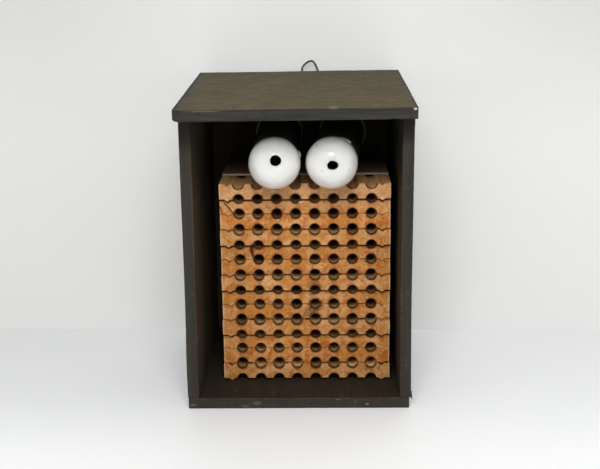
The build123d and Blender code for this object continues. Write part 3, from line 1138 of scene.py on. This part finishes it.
def makeBall(side, look, materials, squash=1.0):
    # the bore runs along Z until the ball is turned to where it looks
    nodeName = side + "_eye_ball"
    low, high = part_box(nodeName)
    radius = (high.z - low.z) / 2
    bore, rim = eyeLook["bore"], eyeLook["rim"]
    start = math.asin((bore + rim) / radius)
    bm = bmesh.new()
    first = bm.verts.new((radius * math.sin(start), 0, radius * math.cos(start)))
    bmesh.ops.spin(bm, geom=[first], cent=(0, 0, 0), axis=(0, 1, 0), dvec=(0, 0, 0),
                   angle=math.pi - 2 * start, steps=eyeLook["arcSteps"])
    bm.verts.ensure_lookup_table()
    last = min(bm.verts, key=lambda v: v.co.z)
    wallTop = radius * math.cos(start) - 0.9 * rim
    path = [(bore + 0.4 * rim, wallTop + 0.75 * rim), (bore + 0.1 * rim, wallTop + 0.4 * rim)]
    path.append((bore, wallTop))
    path += [(x, -z) for x, z in reversed(path)]
    chainUp(bm, [first, *(bm.verts.new((x, 0, z)) for x, z in path), last])
    turnRound(bm, (0, 0, 1), eyeLook["turnSteps"])
    for face in bm.faces:
        middle = face.calc_center_median()
        face.material_index = 1 if math.hypot(middle.x, middle.y) < bore + 0.2 * rim else 0
    wearBore(bm, radius, squash)
    right, up = (math.radians(a) for a in look)
    turn = Matrix.Rotation(right, 4, "Z") @ Matrix.Rotation(math.pi / 2 - up, 4, "X")
    bmesh.ops.transform(bm, matrix=Matrix.Translation((low + high) / 2) @ turn, verts=bm.verts)
    finishPiece(side + "_ball", bm, materials, "eye_board", [nodeName], 50)


def tubePlastic(name, base, worn):
    material, shader, place = newMaterial(name)
    brush = useGroup(strokes, place, stretch=(300.0, 30.0, 300.0))
    colour = blendColour(fade(brush["Streak"], 0.5, 0.78), base, worn)
    colour = shaded(colour, brush["Grit"], 0.5, 0.75)
    dress(shader, colour, timesPlus(brush["Streak"], 0.25, 0.35), brush["Streak"], 0.1 * mm, 0.4)
    return material


def makeTube(side, materials):
    look = tubeLook
    nodeName = side + "_eye_tube"
    low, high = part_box(nodeName)
    ballLow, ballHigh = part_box(side + "_eye_ball")
    centre = (ballLow + ballHigh) / 2
    turn = math.radians(look[side + "Turn"])
    outer = (high.z - low.z) / 2
    inner = outer - look["wall"]
    front = math.sqrt(((ballHigh.z - ballLow.z) / 2 + look["seat"]) ** 2 - inner ** 2)
    rear = (high.y - centre.y - outer * abs(math.sin(turn))) / math.cos(turn)
    lipTop = outer + look["lipHeight"]
    lipFront = rear - look["lipLength"]
    outline = [(inner, front), (outer, front), (outer, lipFront - look["lipFlare"]), (lipTop, lipFront),
               (lipTop, rear), (inner, rear)]
    bm = bmesh.new()
    corners = [bm.verts.new((x, y, 0)) for x, y in outline]
    chainUp(bm, corners + corners[:1])
    turnRound(bm, (0, 1, 0), look["turnSteps"])
    roundEdges(bm, sharpEdges(bm, 60), look["rim"], 3)
    sliceMesh(bm, 1, slicePlaces(front, rear, look["slice"], look["margin"]))
    for face in bm.faces:
        middle = face.calc_center_median()
        face.material_index = 1 if math.hypot(middle.x, middle.z) > outer + 0.1 * mm else 0
    place = Matrix.Translation(centre) @ Matrix.Rotation(turn, 4, "Z")
    bmesh.ops.transform(bm, matrix=place, verts=bm.verts)
    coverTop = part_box("stack_cover")[1].z
    for vert in bm.verts:
        vert.co.z = max(vert.co.z, coverTop)   # the lip is flat where it stands on the cover
    finishPiece(side + "_tube", bm, materials, "eye_board", [nodeName], 40)


ballSkins = [ballWhite(), pupilBlack()]
makeBall("left", eyeLook["leftLook"], ballSkins)
makeBall("right", eyeLook["rightLook"], ballSkins, eyeLook["rightSquash"])
tubeSkins = [tubePlastic("tubeBlack", tubeLook["plastic"], tubeLook["worn"]),
             tubePlastic("tubeLipPaintedLight", tubeLook["lip"], tubeLook["lipWorn"])]
makeTube("left", tubeSkins)
makeTube("right", tubeSkins)
print("eyes made")


# Glue between the balls and their tubes

glueLook = {
    "clear": screenColour(246, 246, 242),
    "behind": 6.0 * mm,        # from the ball's centre
    "size": Vector((1.1, 2.4, 2.6)) * mm,
    "rough": 0.3,              # share of a bead's size
    "roughScale": 1.7,
    "apart": 9,                # so that no two beads are alike
    # degrees above right, and radius in millimetres
    "places": {"left": [(17, 19.7)], "right": [(50, 19.9), (62, 19.2)]},
}


def glueClear():
    material, shader, place = newMaterial("glueClear", {"Transmission Weight": 0.35})
    haze = cloud(place, 1.2 * mm, 3.0, 0.6)
    colour = shaded(glueLook["clear"], haze, 0.4, 0.75)
    dress(shader, colour, timesPlus(haze, 0.2, 0.05), haze, 0.2 * mm, 0.5)
    return material


def makeGlue(side, skin):
    look = glueLook
    low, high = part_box(side + "_eye_ball")
    centre = (low + high) / 2 + Vector((0, look["behind"], 0))
    bm = bmesh.new()
    for angle, radius in look["places"][side]:
        turn = math.radians(angle)
        outward = Vector((math.cos(turn), 0, math.sin(turn)))
        bead = bmesh.ops.create_icosphere(bm, subdivisions=4, radius=1.0)["verts"]
        for vert in bead:
            spot = vert.co * look["roughScale"] + outward * look["apart"]
            vert.co += noise.noise_vector(spot) * look["rough"]
        shape = Matrix.Rotation(-turn, 4, "Y") @ Matrix.Diagonal((*look["size"], 1.0))
        bmesh.ops.transform(bm, matrix=Matrix.Translation(centre + outward * radius * mm) @ shape, verts=bead)
    finishPiece(side + "_glue", bm, [skin], "eye_board")


glueSkin = glueClear()
makeGlue("left", glueSkin)
makeGlue("right", glueSkin)
print("glue made")


# Floor, wall, light and camera

studio = {
    # the floor is darker on the left and paler at the front, and the wall is darker on the left and at its
    # top, most towards the top's ends: painted light and shade for how the light falls on them
    "floor": screenColour(236, 237, 237),
    "floorLeft": screenColour(225, 226, 226),
    "floorFront": screenColour(242, 243, 243),
    "floorDrop": 0.3 * mm,     # the floor lies this much below the boards' rough underside
    "wall": screenColour(226, 226, 224),
    "wallLeft": screenColour(218, 218, 216),
    "wallTop": screenColour(217, 217, 216),
    "wallTopEnd": screenColour(203, 203, 202),
    "bounce": screenColour(234, 234, 233),
    "floorGlow": 0.14,
    "wallGlow": 0.2,
    "floorSize": 30.0,
    "wallSize": 4.0,
    "wallPlace": Vector((0.015, 0.0985, 0.0)),
    "wallTurn": -1.3,          # degrees
    "skyStrength": 0.3,
    "aim": Vector((0.01, -0.06, 0.15)),
}
suns = {
    "topSun": {"strength": 0.25, "lift": 75.0, "swing": -6.0, "spread": 40.0},
    "backSun": {"strength": 0.5, "lift": 42.0, "swing": 168.0, "spread": 60.0},
}
lamps = {
    "frontLamp": {"power": 4.4, "size": (0.45, 0.34), "place": (0.0, -0.82, 0.68), "glossy": False},
    "leftLamp": {"power": 0.6, "size": (0.3, 0.2), "place": (-0.76, -0.6, 0.28), "glossy": False},
    "rightLamp": {"power": 0.6, "size": (0.3, 0.2), "place": (0.76, -0.6, 0.28), "glossy": False},
    "softBox": {"power": 2.6, "size": (0.46, 0.28), "place": (0.05, -0.89, 1.12), "glossy": True},
}


def seenDirectly(tree):
    path = put("LightPath", {}, tree).outputs
    mirrored = calc("MAXIMUM", path["Is Glossy Ray"], path["Is Transmission Ray"])
    return calc("MAXIMUM", path["Is Camera Ray"], mirrored)


def finishStage(name, bm, material, shader, shown, strength):
    # a little pale light of its own, in the picture only, and clear from behind
    tree = material.node_tree
    feed(shown, shader.inputs["Emission Color"])
    feed(times(seenDirectly(tree), strength), shader.inputs["Emission Strength"])
    behind = put("NewGeometry", {}, tree).outputs["Backfacing"]
    clear = put("BsdfTransparent", {}, tree).outputs[0]
    mix = put("MixShader", {0: behind, 1: shader.outputs[0], 2: clear})
    feed(mix.outputs[0], tree.nodes["Material Output"].inputs[0])
    mesh = bpy.data.meshes.new(name)
    bm.to_mesh(mesh)
    bm.free()
    mesh.materials.append(material)
    item = bpy.data.objects.new(name, mesh)
    bpy.context.scene.collection.objects.link(item)
    return item


def makeFloor():
    bm = bmesh.new()
    bmesh.ops.create_grid(bm, x_segments=2, y_segments=2, size=studio["floorSize"])
    bmesh.ops.translate(bm, vec=(0, 0, -studio["floorDrop"]), verts=bm.verts)
    material, shader, place = newMaterial("paleFloor", {"Roughness": 0.5, "Specular IOR Level": 0.2})
    x, y, _ = axes(place)
    shown = blendColour(fade(x, -0.3, 0.2), studio["floorLeft"], studio["floor"])
    shown = blendColour(fade(y, -0.04, -0.2), shown, studio["floorFront"])
    colour = blendColour(seenDirectly(material.node_tree), studio["bounce"], shown)
    feed(colour, shader.inputs["Base Color"])
    finishStage("floor", bm, material, shader, shown, studio["floorGlow"])


def makeWall():
    # seen from the front only, and it neither shades nor lights the house
    bm = bmesh.new()
    bmesh.ops.create_grid(bm, x_segments=2, y_segments=2, size=studio["wallSize"])
    stand = Matrix.Rotation(math.radians(studio["wallTurn"]), 4, "Z") @ Matrix.Rotation(math.pi / 2, 4, "X")
    lift = Matrix.Translation(studio["wallPlace"] + Vector((0, 0, studio["wallSize"])))
    bmesh.ops.transform(bm, matrix=lift @ stand, verts=bm.verts)
    material, shader, place = newMaterial("paleWall", {"Roughness": 0.9, "Specular IOR Level": 0.1})
    x, _, z = axes(place)
    colour = blendColour(fade(x, -0.3, 0.2), studio["wallLeft"], studio["wall"])
    fromMiddle = calc("ABSOLUTE", minus(x, studio["wallPlace"].x))
    upper = blendColour(fade(fromMiddle, 0.06, 0.26), studio["wallTop"], studio["wallTopEnd"])
    colour = blendColour(fade(z, 0.16, 0.34), colour, upper)
    feed(colour, shader.inputs["Base Color"])
    wall = finishStage("wall", bm, material, shader, colour, studio["wallGlow"])
    wall.visible_diffuse = False
    wall.visible_shadow = False


def placeLight(name, light, place, aim, glossy):
    item = bpy.data.objects.new(name, light)
    item.location = place
    item.rotation_euler = (place - aim).to_track_quat("Z", "Y").to_euler()
    item.visible_glossy = glossy
    bpy.context.scene.collection.objects.link(item)


def makeSun(name, strength, lift, swing, spread):
    # lift above the horizon and swing to the right of the front, in degrees
    light = bpy.data.lights.new(name, "SUN")
    light.energy = strength
    light.angle = math.radians(spread)
    up, side = math.radians(lift), math.radians(swing)
    place = Vector((math.sin(side) * math.cos(up), -math.cos(side) * math.cos(up), math.sin(up)))
    placeLight(name, light, place, Vector((0, 0, 0)), False)


def makeLamp(name, power, size, place, glossy):
    light = bpy.data.lights.new(name, "AREA")
    light.shape = "RECTANGLE"
    light.energy = power
    light.size, light.size_y = size
    placeLight(name, light, Vector(place), studio["aim"], glossy)


def makeSky():
    world = bpy.data.worlds.new("sky")
    bpy.context.scene.world = world
    world.use_nodes = True
    backdrop = world.node_tree.nodes["Background"]
    shown = seenDirectly(world.node_tree)
    feed(blendColour(shown, (1.0, 1.0, 1.0, 1.0), studio["wall"]), backdrop.inputs[0])
    feed(timesPlus(shown, 1.0 - studio["skyStrength"], studio["skyStrength"]), backdrop.inputs[1])


cameraSetup = {
    "place": Vector((17.19, -890.43, 343.32)) * mm,
    "pitch": 14.139,           # down, in degrees
    "yaw": 1.084,
    "roll": -0.681,
    "focalPixels": 1085.98,
    "imageWidth": 600,
    "sensor": 36.0,
}


def makeCamera():
    look = cameraSetup
    pitch, yaw, roll = (math.radians(look[k]) for k in ("pitch", "yaw", "roll"))
    right = Vector((math.cos(yaw), math.sin(yaw), 0))
    forward = Vector((-math.sin(yaw) * math.cos(pitch), math.cos(yaw) * math.cos(pitch), -math.sin(pitch)))
    up = right.cross(forward)
    sideways = right * math.cos(roll) + up * math.sin(roll)
    upwards = up * math.cos(roll) - right * math.sin(roll)
    camera = bpy.data.objects.new("camera", bpy.data.cameras.new("camera"))
    camera.data.sensor_fit = "HORIZONTAL"
    camera.data.sensor_width = look["sensor"]
    camera.data.lens = look["focalPixels"] / look["imageWidth"] * look["sensor"]
    turn = Matrix((sideways, upwards, -forward)).transposed().to_4x4()
    camera.matrix_world = Matrix.Translation(look["place"]) @ turn
    bpy.context.scene.collection.objects.link(camera)
    bpy.context.scene.camera = camera


makeFloor()
makeWall()
for sunName, sun in suns.items():
    makeSun(sunName, **sun)
for lampName, lamp in lamps.items():
    makeLamp(lampName, **lamp)
makeSky()
makeCamera()
bpy.context.scene.view_settings.view_transform = "Standard"
print("studio ready")
